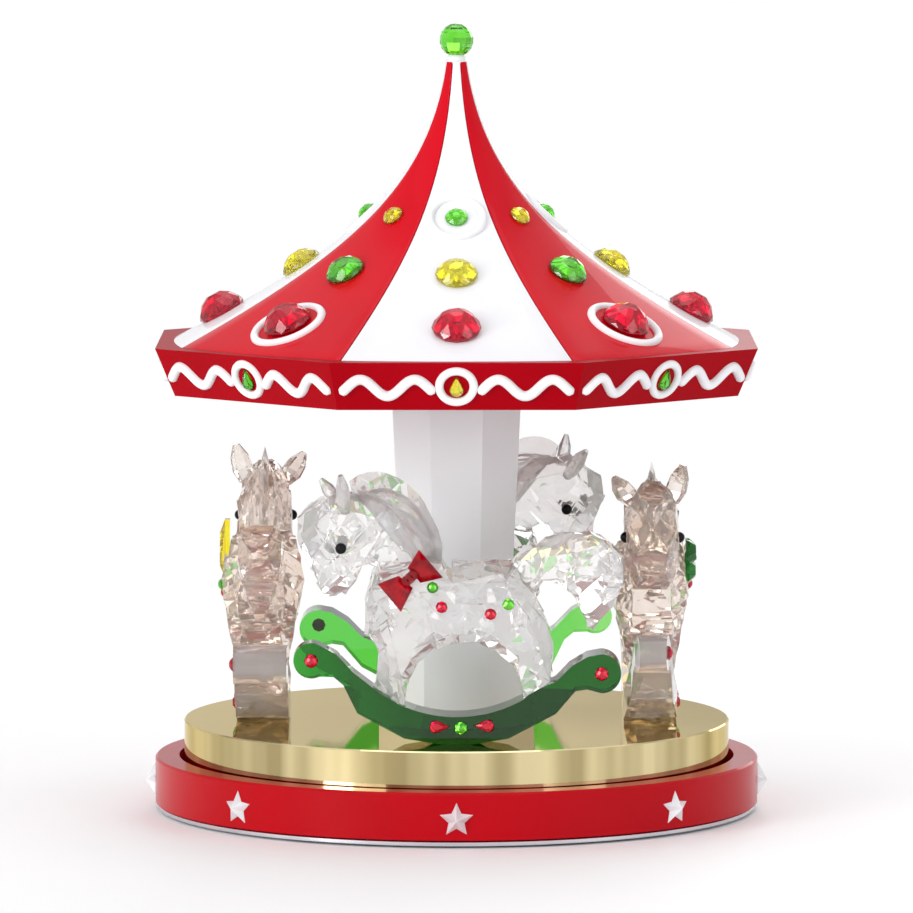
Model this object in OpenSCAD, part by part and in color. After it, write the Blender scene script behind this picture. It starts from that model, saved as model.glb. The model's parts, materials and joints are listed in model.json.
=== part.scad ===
// Carousel music box: four crystal rocking horses ride a gilt turntable under a striped
// pagoda canopy. A spring movement in the base turns it and plays a comb. The movement is
// wound by turning the foot plate under the base. Millimetres, +Z up, origin on the table.

/* [Base] */
// Outer radius of the lacquered base ring
base_r = 71; // [70:0.5:74]
// Height of the ring's top edge
base_h = 12.8; // [11:0.2:14]
// Radius of the silver foot plate
foot_r = 70.4; // [69:0.2:70.8]
// Reach of a star's points from its centre
star_r = 4; // [3:0.25:4.5]
// How far a star stands out from the ring
star_h = 2.3; // [1:0.1:3]

/* [Turntable] */
// Outer radius of the gilt turntable
table_r = 64.2; // [63.8:0.1:64.6]
// Width of one flat face of the column's plinth, as its apothem
plinth_a = 18.2; // [17:0.2:20]
// Apothem of the column at its foot
column_foot_a = 12.8; // [11:0.2:14]
// Apothem of the column under the canopy
column_top_a = 15.4; // [13:0.2:16]

/* [Canopy] */
// Corner radius of the skirt's top edge
skirt_top_r = 75.5; // [74.5:0.5:78]
// Corner radius of the skirt's lower edge
skirt_low_r = 70.6; // [69:0.5:74]
// Height of the skirt's lower edge
skirt_low_z = 99.7; // [98:0.2:101]
// Radius of the crystal ball on top
ball_r = 4; // [3:0.25:4]
// How far a roof panel bulges, 0 for flat and 1 for round
bulge = 0.5; // [0:0.05:1]

/* [Horses] */
// Distance of each horse's middle from the axis
horse_ring_r = 45.5; // [45:0.25:47]
// Width of the rockers
rocker_w = 12.4; // [10:0.2:13]
// Radius of an eye
eye_r = 1.3; // [1:0.1:1.6]

/* [Movement] */
// Teeth on the spring barrel's crown wheel
crown_teeth = 36; // [36:1:36]
// Teeth on the cylinder's pinion
pinion_teeth = 8; // [8:1:8]
// Tuned teeth on the comb
comb_teeth = 18; // [12:1:18]

/* [Hidden] */
$fn = 96;

oct = cos(22.5);       // apothem of an octagon over its corner radius
gap = 0.3;             // air between parts that turn past each other
run = 0.05;            // radial clearance of a running fit

// heights, from the table up
pad_top = 0.5;
foot_top = 1.6;
bed_low = foot_top + gap;
bed_top = 3.9;
boss_top = 4.9;
ratchet_low = 5.1;
ratchet_top = 5.9;
barrel_low = ratchet_top + gap;
crown_low = 7.8;
crown_top = 9.6;
barrel_top = 15.4;
cover_top = 16.6;
hub_mid = 18.2;
table_low = 19.8;
table_top = 21.4;
plinth_top = 48;
ceiling_low = 103.4;
ceiling_top = 105.2;
skirt_top_z = 110.8;
panel_top = 176;
collar_top = 177.4;
ball_z = 181;

// radii shared by parts that meet
ring_in = 65.4;
ledge_r = 61;
shaft_r = 3;
rod_r = 2;
drum_r = 15.6;
barrel_r = 20.2;
screw_r = 1;
head_r = 2;
ledge_screw_ring = (ledge_r + ring_in) / 2;
plate_screw_ring = 6.5;

// cylinder and governor train; each arbor runs along X
arbor_z = 13;
arbor_r = 1;
frame_x = -22;
frame_t = 1.2;
frame_h = 12.2;
cylinder_x = -24;
cylinder_l = 20;
cylinder_r = 5.6;
wheel_x = -45.6;
end_frame_x = -50;
governor_y = 9.1;
worm_wheel_x = -47.9;
worm_wheel_r = 4.8;
worm_r = 2;
worm_teeth = 16;
worm_y = governor_y + worm_wheel_r + worm_r + 0.1;

module ring(r_out, r_in, z0, z1) {
    translate([0, 0, z0]) difference() {
        cylinder(r = r_out, h = z1 - z0, $fn = 180);
        translate([0, 0, -1]) cylinder(r = r_in, h = z1 - z0 + 2, $fn = 180);
    }
}

module around(n, r, start = 0) {
    for (i = [0 : n - 1]) rotate(start + i * 360 / n) translate([r, 0, 0]) children();
}

module screw(z_head, z_seat, z_tip) {
    low = min(z_head, z_seat);
    translate([0, 0, low]) cylinder(r = head_r, h = abs(z_head - z_seat), $fn = 32);
    translate([0, 0, min(z_seat, z_tip)])
        cylinder(r = screw_r, h = abs(z_tip - z_seat), $fn = 32);
}

// outline of a spur wheel whose teeth are wide_root and wide_tip degrees to each side
function wheel_outline(n, r_root, r_tip, wide_root, wide_tip) = [
    for (i = [0 : n - 1])
        for (p = [[r_root, -wide_root], [r_tip, -wide_tip], [r_tip, wide_tip],
                  [r_root, wide_root]])
            p[0] * [cos(i * 360 / n + p[1]), sin(i * 360 / n + p[1])]
];

// base

module ledge_screws(r) {
    around(4, ledge_screw_ring, 22.5) cylinder(r = r, h = 7, $fn = 32);
}

module base_ring() color("#b8101c") {
    difference() {
        union() {
            rotate_extrude($fn = 180) polygon([
                [ring_in, bed_low], [base_r, bed_low], [base_r, base_h - 0.5],
                [base_r - 0.5, base_h], [ring_in, base_h]
            ]);
            ring(ring_in, ledge_r, bed_top, 7);
        }
        ledge_screws(screw_r);
    }
}

function star_points(r_out, r_in) = [
    for (i = [0 : 9]) (i % 2 == 0 ? r_out : r_in) * [sin(36 * i), cos(36 * i)]
];

module base_stars() color("#d8d9dc") {
    difference() {
        around(8, base_r - 0.5) translate([0, 0, 6.6]) rotate([90, 0, 90])
            linear_extrude(height = star_h + 0.5, scale = 0.06)
                polygon(star_points(star_r, star_r * 0.48));
        cylinder(r = base_r, h = base_h, $fn = 180);
    }
}

module click_post_place() {
    rotate(60) translate([13.5, 0, 0]) children();
}

comb_y = -24;          // front edge of the comb's fixed end
comb_z = arbor_z - 0.6;
comb_t = 1.2;
comb_size = [20, 8];    // length and depth of the comb's fixed end
comb_low_x = -44;

module comb_holes() {
    for (x = [-40, -34, -28]) translate([x, comb_y - 4, 0]) children();
}

module bedplate() color("#a9adb2") {
    difference() {
        union() {
            translate([0, 0, bed_low]) {
                cylinder(r = ring_in - 0.2, h = bed_top - bed_low, $fn = 180);
                cylinder(r = 9.8, h = boss_top - bed_low);
            }
            click_post_place() {
                cylinder(r = 1.8, h = boss_top);
                cylinder(r = 1, h = barrel_low - gap);
            }
            translate([comb_low_x, comb_y - comb_size[1], bed_low])
                cube([comb_size[0], comb_size[1], comb_z - bed_low]);
        }
        click_post_place() cylinder(r = 2, h = bed_low);
        cylinder(r = 9.3, h = bed_low + 1.2);
        cylinder(r = shaft_r + run, h = 10);
        ledge_screws(screw_r);
        around(4, ledge_screw_ring, 22.5) cylinder(r = head_r, h = bed_low + 1);
        comb_holes() translate([0, 0, comb_z - 5]) cylinder(r = screw_r, h = 9);
    }
}

module bedplate_screws() color("#8f949a") {
    around(4, ledge_screw_ring, 22.5) screw(bed_low + 0.1, bed_low + 1, 6.5);
}

// two uprights carry the cylinder and the governor between them
module movement_frame() color("#c9a54a") {
    difference() {
        union() {
            translate([frame_x - frame_t, -5, bed_top]) cube([frame_t, 10, frame_h]);
            translate([end_frame_x - frame_t, -5, bed_top])
                cube([frame_t, governor_y + 10, frame_h]);
            for (z = [[bed_top, 1.4], [bed_top + 11.3, 0.9]])
                translate([end_frame_x, worm_y - 1.4, z[0]]) cube([5, 4.4, z[1]]);
            translate([end_frame_x - frame_t, worm_y - 3, bed_top])
                cube([frame_t, 6, frame_h]);
        }
        translate([0, 0, arbor_z]) rotate([0, -90, 0])
            cylinder(r = arbor_r + run, h = 60, $fn = 48);
        translate([end_frame_x - 5, governor_y, arbor_z]) rotate([0, 90, 0])
            cylinder(r = arbor_r + run, h = 6, $fn = 48);
        translate([worm_wheel_x, worm_y, bed_top + 0.4])
            cylinder(r = 0.6 + run, h = 14, $fn = 48);
    }
}

// teeth get shorter from bass to treble
module comb() color("#d5d8dc") {
    tip_y = -(cylinder_r + 0.9);
    pitch = (cylinder_l - 1) / comb_teeth;
    difference() {
        union() {
            translate([comb_low_x, comb_y - comb_size[1], comb_z])
                cube([comb_size[0], comb_size[1], comb_t]);
            for (i = [0 : comb_teeth - 1]) {
                x = cylinder_x - cylinder_l + 0.7 + i * pitch;
                translate([x, comb_y, comb_z]) cube([pitch * 0.7, tip_y - comb_y, 0.5]);
                translate([x, comb_y, comb_z]) cube([pitch * 0.7, 1 + i * 0.3, comb_t]);
            }
        }
        comb_holes() cylinder(r = screw_r, h = 20);
    }
}

module comb_screws() color("#8f949a") {
    comb_holes() screw(comb_z + 2, comb_z + comb_t, comb_z - 4);
}

// the click drops into the ratchet so that the wound spring can't turn the foot back
module click_pawl() color("#b9bcc0") {
    difference() {
        translate([0, 0, ratchet_low + 0.1]) linear_extrude(ratchet_top - ratchet_low - 0.2)
            click_post_place() union() {
                circle(r = 2.2);
                polygon([[-1.2, 2], [-6.1, 5], [-6.5, 4.4], [-2.2, -0.6]]);
            }
        click_post_place() cylinder(r = 1 + run, h = 10);
    }
}

// winding plate

module winding_plate() color("#cfd1d4") {
    difference() {
        rotate_extrude($fn = 180) polygon([
            [0, pad_top], [foot_r - 0.2, pad_top], [foot_r, pad_top + 0.2],
            [foot_r, foot_top - 0.2], [foot_r - 0.2, foot_top], [0, foot_top]
        ]);
        around(3, plate_screw_ring) cylinder(r = screw_r, h = 5, $fn = 32);
        around(3, plate_screw_ring) cylinder(r = head_r, h = pad_top + 0.5, $fn = 32);
    }
}

module plate_pad() color("#2b2b2e") ring(68, 44, 0, pad_top);

module plate_screws() color("#8f949a") {
    around(3, plate_screw_ring) screw(pad_top, pad_top + 0.5, foot_top + 1);
}

module winding_arbor() color("#9a9ea3") {
    difference() {
        union() {
            translate([0, 0, foot_top]) cylinder(r = 9, h = 1.2);
            translate([0, 0, foot_top]) cylinder(r = shaft_r, h = 13 - foot_top);
            translate([0, 0, 13]) cylinder(r = rod_r, h = 2.2);
        }
        around(3, plate_screw_ring) cylinder(r = screw_r, h = foot_top + 1, $fn = 32);
    }
}

module ratchet_wheel() color("#c9a54a") {
    n = 24;
    translate([0, 0, ratchet_low]) linear_extrude(ratchet_top - ratchet_low) difference() {
        polygon([for (i = [0 : n - 1]) for (p = [[6.9, 0], [8, 14]])
            p[0] * [cos(i * 360 / n + p[1]), sin(i * 360 / n + p[1])]]);
        circle(r = shaft_r);
    }
}

// spring barrel and drive

module crown_tooth() {
    rotate([90, 0, 90]) linear_extrude(barrel_r - 0.3 - 17.4)
        polygon([[-0.7, -0.2], [0.7, -0.2], [0.35, crown_top - crown_low],
                 [-0.35, crown_top - crown_low]]);
}

module spring_barrel() color("#d2b055") {
    difference() {
        union() {
            translate([0, 0, barrel_low]) cylinder(r = barrel_r, h = crown_low - barrel_low);
            ring(drum_r, drum_r - 1.2, crown_low, barrel_top);
            around(crown_teeth, 17.4, 5) translate([0, 0, crown_low]) crown_tooth();
        }
        cylinder(r = shaft_r + run, h = 10);
    }
}

// a flat strip wound from near the arbor out to the barrel's wall
module mainspring() color("#6f7f95") {
    turns = 5.5;
    steps = 24;
    n = turns * steps;
    r_of = function (i) 6 + (drum_r - 1.9 - 6) * i / n;
    inner = [for (i = [0 : n]) r_of(i) * [cos(i * 360 / steps), sin(i * 360 / steps)]];
    outer = [for (i = [n : -1 : 0])
        (r_of(i) + 0.5) * [cos(i * 360 / steps), sin(i * 360 / steps)]];
    translate([0, 0, crown_low]) linear_extrude(6.8) polygon(concat(inner, outer));
}

module barrel_cover() color("#d2b055") {
    difference() {
        union() {
            translate([0, 0, barrel_top]) cylinder(r = drum_r, h = cover_top - barrel_top);
            translate([0, 0, 13.3]) cylinder(r = 4.6, h = barrel_top - 13.3);
        }
        translate([0, 0, 12]) cylinder(r = rod_r + run, h = 15.5 - 12);
    }
}

module hub_holes() {
    around(3, 9.5, 60) children();
}

module drive_hub() color("#c9a54a") {
    difference() {
        union() {
            translate([0, 0, cover_top]) cylinder(r = 6, h = hub_mid - cover_top);
            translate([0, 0, hub_mid]) cylinder(r = 13, h = table_low - hub_mid);
        }
        translate([0, 0, cover_top + 0.6]) cylinder(r = rod_r, h = 5);
        hub_holes() translate([0, 0, hub_mid]) cylinder(r = screw_r, h = 5);
    }
}

// turntable and column

module turntable() color("#cfc08c") {
    difference() {
        rotate_extrude($fn = 180) polygon([
            [rod_r, table_low], [table_r - 1.8, table_low], [table_r - 1.8, 9.5],
            [table_r, 9.5], [table_r, table_top - 0.3], [table_r - 0.3, table_top],
            [rod_r, table_top]
        ]);
        hub_holes() cylinder(r = screw_r, h = 30);
    }
}

module turntable_screws() color("#8f949a") {
    hub_holes() screw(table_top + 1.2, table_top, hub_mid + 0.2);
}

// an eight-sided tube from apothem a0 at z0 to apothem a1 at z1
module octagon_tube(a0, a1, z0, z1, wall) {
    rotate(22.5) difference() {
        translate([0, 0, z0]) cylinder(r1 = a0 / oct, r2 = a1 / oct, h = z1 - z0, $fn = 8);
        translate([0, 0, z0 - 0.01])
            cylinder(r1 = (a0 - wall) / oct, r2 = (a1 - wall) / oct, h = z1 - z0 + 0.02,
                     $fn = 8);
    }
}

module column_plinth() color("#e9eaee") {
    top = 1.6;
    octagon_tube(plinth_a, plinth_a, table_top, plinth_top - top, 1.6);
    translate([0, 0, plinth_top - top]) difference() {
        rotate(22.5) cylinder(r = plinth_a / oct, h = top, $fn = 8);
        translate([0, 0, -1]) cylinder(r = rod_r, h = top + 2);
    }
}

module column_shaft() color("#e9eaee")
    octagon_tube(column_foot_a, column_top_a, plinth_top, ceiling_low, 1.5);

module tie_rod() color("#9a9ea3") {
    translate([0, 0, cover_top + 0.6]) cylinder(r = rod_r, h = 150 - cover_top - 0.6);
    translate([0, 0, 150]) cylinder(r = 1.2, h = panel_top - 150);
    for (z = [plinth_top, ceiling_top])
        translate([0, 0, z]) cylinder(r = 3.8, h = 2.6, $fn = 6);
}

// canopy

module canopy_tray() color("#b8101c") {
    wall = 2.4;
    lean = (skirt_top_r - skirt_low_r) / (skirt_top_z - skirt_low_z);
    corner = function (z) skirt_low_r + (z - skirt_low_z) * lean;
    difference() {
        rotate(22.5) translate([0, 0, skirt_low_z])
            cylinder(r1 = skirt_low_r, r2 = skirt_top_r, h = skirt_top_z - skirt_low_z,
                     $fn = 8);
        rotate(22.5) translate([0, 0, skirt_low_z - 0.1])
            cylinder(r1 = corner(skirt_low_z) - wall, r2 = corner(ceiling_low) - wall,
                     h = ceiling_low - skirt_low_z + 0.1, $fn = 8);
        rotate(22.5) translate([0, 0, ceiling_top])
            cylinder(r1 = corner(ceiling_top) - wall, r2 = corner(109.2) - wall,
                     h = 109.2 - ceiling_top, $fn = 8);
        translate([0, 0, 109]) cylinder(r = 60, h = 3, $fn = 96);
        translate([0, 0, ceiling_low - 1]) cylinder(r = rod_r, h = 4, $fn = 32);
    }
}

// the roof's profile is one cubic curve from the collar to the skirt, t from 0 to 1
roof_pole = [[2.6, panel_top], [7, 147], [26.5, 132], [69, skirt_top_z]];
function roof_curve(t) =
    pow(1 - t, 3) * roof_pole[0] + 3 * pow(1 - t, 2) * t * roof_pole[1]
    + 3 * (1 - t) * t * t * roof_pole[2] + pow(t, 3) * roof_pole[3];
function roof_slope(t) =
    3 * pow(1 - t, 2) * (roof_pole[1] - roof_pole[0])
    + 6 * (1 - t) * t * (roof_pole[2] - roof_pole[1])
    + 3 * t * t * (roof_pole[3] - roof_pole[2]);
function roof_normal(t) = let (d = roof_slope(t)) [-d[1], d[0]] / norm(d);

// radius at angle a from a panel's middle, over the radius at its corner
function panel_swell(a) = bulge + (1 - bulge) * oct / cos(a);
function roof_point(t, a, turn, depth) =
    let (p = roof_curve(t) - depth * roof_normal(t), r = p[0] * panel_swell(a))
    [r * cos(a + turn), r * sin(a + turn), max(p[1], skirt_top_z)];

// a closed shell between two depths under the roof's outer face
module roof_shell(t0, depth_out, depth_in, turn) {
    rows = 14;
    cols = 4;
    at = function (i, j, d)
        roof_point(t0 + (1 - t0) * i / rows, -22.5 + 45 * j / cols, turn, d);
    points = [for (d = [depth_out, depth_in]) for (i = [0 : rows]) for (j = [0 : cols])
        at(i, j, d)];
    w = cols + 1;
    k = (rows + 1) * w;
    faces = concat(
        [for (i = [0 : rows - 1]) for (j = [0 : cols - 1]) for (f = [
            [i * w + j, (i + 1) * w + j, (i + 1) * w + j + 1],
            [i * w + j, (i + 1) * w + j + 1, i * w + j + 1],
            [k + i * w + j, k + (i + 1) * w + j + 1, k + (i + 1) * w + j],
            [k + i * w + j, k + i * w + j + 1, k + (i + 1) * w + j + 1]]) f],
        [for (i = [0 : rows - 1]) for (f = [
            [i * w, k + i * w, k + (i + 1) * w], [i * w, k + (i + 1) * w, (i + 1) * w],
            [i * w + cols, k + (i + 1) * w + cols, k + i * w + cols],
            [i * w + cols, (i + 1) * w + cols, k + (i + 1) * w + cols]]) f],
        [for (j = [0 : cols - 1]) for (f = [
            [j, j + 1, k + j + 1], [j, k + j + 1, k + j],
            [rows * w + j, k + rows * w + j + 1, rows * w + j + 1],
            [rows * w + j, k + rows * w + j, k + rows * w + j + 1]]) f]);
    polyhedron(points, faces, convexity = 4);
}

panel_t = 1.2;
seam = 0.3;            // gap between neighbouring panels

module roof_former() color("#3a1216")
    for (k = [0 : 7]) roof_shell(0.15, panel_t + 0.2, panel_t * 2, 45 * k);

module seam_slots() {
    for (k = [0 : 3]) rotate(22.5 + 45 * k)
        translate([-80, -seam / 2, 100]) cube([160, seam, 90]);
}

module roof_panels(start) {
    difference() {
        for (k = [0 : 3]) roof_shell(0, 0, panel_t, start + 90 * k);
        seam_slots();
    }
}

module roof_panels_red() color("#c2121f") roof_panels(45);
module roof_panels_white() color("#f2f2f4") roof_panels(0);

module finial_collar() color("#f2f2f4") {
    difference() {
        translate([0, 0, panel_top]) cylinder(r = 2.2, h = collar_top - panel_top, $fn = 48);
        translate([0, 0, ball_z]) sphere(r = ball_r, $fn = 48);
    }
}

module finial_ball() color("#3fae3a") translate([0, 0, ball_z]) sphere(r = ball_r, $fn = 48);

// places children on a panel's centre line, +Z outwards and -X towards the finial
module on_roof(t, turn) {
    p = roof_curve(t);
    n = roof_normal(t);
    rotate(turn) translate([p[0] * panel_swell(0), 0, p[1]])
        rotate([0, atan2(n[0], n[1]), 0]) children();
}

// places children on the middle of a skirt face, +Y up the face and +Z outwards
module on_skirt(k) {
    tilt = atan2((skirt_top_r - skirt_low_r) * oct, skirt_top_z - skirt_low_z);
    rotate(45 * k) translate([(skirt_top_r + skirt_low_r) / 2 * oct, 0,
                              (skirt_top_z + skirt_low_z) / 2])
        rotate([0, tilt, 0]) rotate([90, 0, 90]) children();
}

module cut_gem(r, h) {
    cylinder(r = r, h = h * 0.3, $fn = 32);
    translate([0, 0, h * 0.3]) cylinder(r1 = r, r2 = r * 0.5, h = h * 0.7, $fn = 32);
}

module drop_gem(w, l, h) {
    linear_extrude(h) union() {
        translate([0, -l / 2 + w / 2]) circle(r = w / 2, $fn = 32);
        polygon([[-w / 2, -l / 2 + w / 2], [w / 2, -l / 2 + w / 2], [0, l / 2]]);
    }
}

// stones on a panel's centre line: place on the curve, radius on red and on white panels
top_t = 0.5;
mid_t = 0.71;
low_t = 0.9;
stone_white = [2.7, 5, 5.75];
stone_red = [2.6, 4.75, 5.75];
stone_h = [2, 3.6, 5];
skirt_drop = [3.3, 5.1, 1.4];   // width, length and height

module roof_stones(t, start, r, h)
    for (k = [0 : 3]) on_roof(t, start + 90 * k) cut_gem(r, h);

module gems_red() color("#c4122f") {
    roof_stones(low_t, 0, stone_white[2], stone_h[2]);
    roof_stones(low_t, 45, stone_red[2], stone_h[2]);
}

module gems_yellow() color("#e0b91f") {
    roof_stones(mid_t, 0, stone_white[1], stone_h[1]);
    roof_stones(top_t, 45, stone_red[0], stone_h[0]);
    for (k = [0 : 2 : 6]) on_skirt(k)
        drop_gem(skirt_drop[0], skirt_drop[1], skirt_drop[2]);
}

module gems_green() color("#2fa336") {
    roof_stones(top_t, 0, stone_white[0], stone_h[0]);
    roof_stones(mid_t, 45, stone_red[1], stone_h[1]);
    for (k = [1 : 2 : 7]) on_skirt(k)
        drop_gem(skirt_drop[0], skirt_drop[1], skirt_drop[2]);
}

module tube_ring(r_mid, r_tube)
    rotate_extrude($fn = 64) translate([r_mid, 0]) intersection() {
        circle(r = r_tube, $fn = 24);
        translate([-r_tube, 0]) square([2 * r_tube, r_tube]);
    }

module roof_rings() color("#f5f5f6") {
    for (k = [0 : 3]) on_roof(top_t, 90 * k) tube_ring(6.2, 0.9);
    for (k = [0 : 3]) on_roof(low_t, 45 + 90 * k) tube_ring(8.2, 1);
}

// a wavy line of icing to one side of the skirt's middle ring
wave_half = 6.75;      // from a trough to the next peak
wave_high = 2;
wave_wide = 2.6;
icing_h = 1.3;
function wave_at(x) = [x, -wave_high * cos(180 * (x - 2.4) / wave_half)];
function wave_edge(x, side) =
    let (d = wave_at(x + 0.01) - wave_at(x - 0.01))
    wave_at(x) + side * wave_wide / 2 * [-d[1], d[0]] / norm(d);

module icing_wave() polygon(concat(
    [for (x = [5.6 : 0.7 : 26.6]) wave_edge(x, 1)],
    [wave_at(27.6)],
    [for (x = [26.6 : -0.7 : 5.6]) wave_edge(x, -1)]
));

module skirt_piping() color("#f5f5f6") {
    for (k = [0 : 7]) on_skirt(k) {
        tube_ring(3.9, 0.95);
        linear_extrude(icing_h) icing_wave();
        linear_extrude(icing_h) mirror([1, 0]) icing_wave();
    }
}

// horses: local -X is forwards, -Y outwards, Z from the turntable's top

rocker_top_r = 31;
arch_at = [1.8, 10.2]; // centre of the arch between the legs, x and z
arch_r = 13.6;
rocker_z = 37.4;       // centre of the rocker's arc
neck_line = [[-8, 44], [-9.7, 46.9], [-12.5, 50.6], [-15.3, 54.8], [-18, 57], [-23.8, 57.6]];

module horse_place(turn)
    rotate(turn) translate([0, -horse_ring_r, table_top]) children();

module side_cut(w) translate([0, w / 2, 0]) rotate([90, 0, 0]) linear_extrude(w) children();

module mirrored_width(profile) {
    polygon(concat(profile, [for (i = [len(profile) - 1 : -1 : 0])
        [-profile[i][0], profile[i][1]]]));
}

module torso() {
    intersection() {
        side_cut(24) difference() {
            polygon([[-18.8, 8], [-17.9, 21.6], [-20.2, 26], [-20.2, 33], [-18.1, 41],
                     [-12, 47], [-8, 44], [-3.4, 41.6], [13.2, 41.6], [15, 37.6],
                     [18.2, 34.1], [20.2, 28.9], [22.2, 23], [21.9, 8]]);
            translate(arch_at) circle(r = arch_r);
            translate([arch_at[0] - arch_r, 0]) square([2 * arch_r, arch_at[1]]);
        }
        rotate([90, 0, 90]) translate([0, 0, -30]) linear_extrude(60)
            mirrored_width([[6.1, 0], [6.1, 15], [8.4, 28], [9.7, 35], [8, 41.6], [6.5, 48]]);
    }
}

module head() {
    intersection() {
        side_cut(20) polygon(concat(
            [[-12, 38], [-18, 38], [-18.1, 41.1], [-20, 41.8], [-21.4, 41.3], [-23.2, 37.8],
             [-25.6, 34.8], [-30, 34.1], [-32.1, 37.1], [-33, 42], [-36.2, 50.2],
             [-36.1, 52.1], [-33, 53.9], [-30, 56], [-26.9, 58.6], [-23.8, 57.6]],
            [for (i = [4 : -1 : 0]) neck_line[i]]));
        linear_extrude(70) polygon([[-37, 3.4], [-30, 4.8], [-24, 6.7], [-5, 6.7],
                                    [-5, -6.7], [-24, -6.7], [-30, -4.8], [-37, -3.4]]);
    }
    for (side = [-1, 1]) translate([-26, side * 4.8, 55.6]) rotate([side * -24, -10, 0])
        cylinder(r1 = 2, r2 = 0.8, h = 7, $fn = 6);
}

module horse_body(turn) horse_place(turn) difference() {
    union() {
        torso();
        head();
    }
    side_cut(30) translate([0, rocker_z]) difference() {
        circle(r = 60);
        circle(r = rocker_top_r);
        translate([-60, -21]) square([120, 90]);
    }
}

module horse_mane(turn) horse_place(turn) intersection() {
    side_cut(14) polygon(concat(neck_line,
        [[-24.3, 60.3], [-20.4, 62.3], [-16.2, 62.1], [-13.2, 60.9], [-9.7, 58.1],
         [-7.4, 55.3], [-5.5, 51.6], [-4.1, 48.8], [-3.2, 45.3], [-3.4, 41.6],
         [-8, 44]]));
    rotate([90, 0, 90]) translate([0, 0, -30]) linear_extrude(60)
        mirrored_width([[6, 40], [6, 56], [1, 63]]);
}

module horse_tail(turn) horse_place(turn) intersection() {
    side_cut(10) polygon([[13.2, 41.6], [16.7, 44.3], [20.5, 47.1], [24.7, 48.4],
                          [31.4, 48.1], [34.9, 45.9], [38.3, 43], [38.1, 37.6],
                          [37.2, 34.3], [35.3, 30.5], [31.4, 26.3], [30.1, 26.6],
                          [29.2, 29.9], [26.3, 34.7], [23.7, 37.2], [19.6, 37.5],
                          [18.2, 34.1], [15, 37.6]]);
    rotate([90, 0, 90]) translate([0, 0, 0]) linear_extrude(60)
        mirrored_width([[0.8, 25], [4.6, 38], [4.6, 50]]);
}

head_ball = [-33.4, 19.1];
tail_ball = [33.3, 16.4];
head_ball_r = 4.1;
tail_ball_r = 4.5;

function arc(c, r, a0, a1, n) =
    [for (i = [0 : n]) let (a = a0 + (a1 - a0) * i / n) c + r * [cos(a), sin(a)]];

// arced runner with a faceted sole, rising at both ends into a round scroll
module rocker_outline() polygon(concat(
    arc([0, rocker_z], rocker_top_r, -53, -127, 24),
    [[-23.8, 16.6], [-27.7, 20.7]],
    arc(head_ball, head_ball_r, 56, 298, 16),
    [[-28.2, 15.4], [-26, 13.6]],
    arc([0, rocker_z], rocker_z / cos(9.25), -127, -53, 4),
    [[27.3, 12.4], [30, 12.8]],
    arc(tail_ball, tail_ball_r, -90, 92, 14),
    [[30, 20.3], [26.2, 18], [22.9, 14.6]]
));

module rocker(turn) horse_place(turn) intersection() {
    side_cut(rocker_w) rocker_outline();
    linear_extrude(40) polygon([[-40, 2.7], [-12, 6.2], [40, 6.2], [40, -6.2], [-12, -6.2],
                                [-40, -2.7]]);
}

module horse_eye_pair() for (side = [-1, 1])
    translate([-26.5, side * 6.1, 45.3]) rotate([side * -90, 0, 0])
        cylinder(r = eye_r, h = 1, $fn = 32);

// stones on the outer side: [x, z, radius] on the flank, then on the rocker
flank_stones = [[-3.4, 32.1, 1.3], [7.8, 30.5, 1.3], [-5.5, 36.5, 1.3], [11.9, 32.8, 1.3]];
module stone_set() {
    for (s = flank_stones) translate([s[0], -9.2, s[1]]) rotate([90, 0, 0])
        cylinder(r = s[2], h = 1.2, $fn = 32);
    for (p = [concat(tail_ball, [-6.2]), [1, 3.7, -6.2], concat(head_ball, [-3.5])])
        translate([p[0], p[2], p[1]]) rotate([90, 0, 0]) cylinder(r = 1.6, h = 1, $fn = 32);
    for (p = [[-3.9, 4, -90], [6.3, 4.2, 90]]) translate([p[0], -6.2, p[1]])
        rotate([90, 0, 0]) rotate(p[2]) drop_gem(3.2, 5, 1);
}

turns = [0, 90, 180, 270];

module horse_eyes() color("#151515") for (t = turns) horse_place(t) horse_eye_pair();
module horse_stones() color("#c4122f") for (t = turns) horse_place(t) stone_set();

module front_horse_body() color("#e4e8ec") horse_body(0);
module front_horse_mane() color("#dfe3e8") horse_mane(0);
module front_horse_tail() color("#dfe3e8") horse_tail(0);
module front_rocker() color("#1f8f35") rocker(0);
module right_horse_body() color("#e3c9ba") horse_body(90);
module right_horse_mane() color("#dcc0b0") horse_mane(90);
module right_horse_tail() color("#dcc0b0") horse_tail(90);
module right_rocker() color("#ecd9d2") rocker(90);
module back_horse_body() color("#e4e8ec") horse_body(180);
module back_horse_mane() color("#dfe3e8") horse_mane(180);
module back_horse_tail() color("#dfe3e8") horse_tail(180);
module back_rocker() color("#1f8f35") rocker(180);
module left_horse_body() color("#e3c9ba") horse_body(270);
module left_horse_mane() color("#dcc0b0") horse_mane(270);
module left_horse_tail() color("#dcc0b0") horse_tail(270);
module left_rocker() color("#ecd9d2") rocker(270);

// ornaments sit on the outer side of each neck, built flat and stood up
ornament_y = -8.1;
module ornament(turn) horse_place(turn)
    translate([-10.6, ornament_y, 38.9]) rotate([90, 0, 0]) children();

module bow_shape() {
    linear_extrude(2) polygon([[-7.4, -1.5], [-2.1, -7.9], [0.3, -2.6], [1.9, 0.1],
                               [7.5, 0], [2, 6.4], [-0.2, 1.8], [-2.6, -0.9]]);
    cylinder(r = 1.9, h = 2.6, $fn = 32);
}

module bell_shape() {
    linear_extrude(2.4) polygon([[-1.8, 7], [1.8, 7], [2.5, 2], [3.6, -4], [4.3, -6.4],
                                 [-4.3, -6.4], [-3.6, -4], [-2.5, 2]]);
    translate([0, -7]) cylinder(r = 1.6, h = 2, $fn = 32);
}

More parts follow.
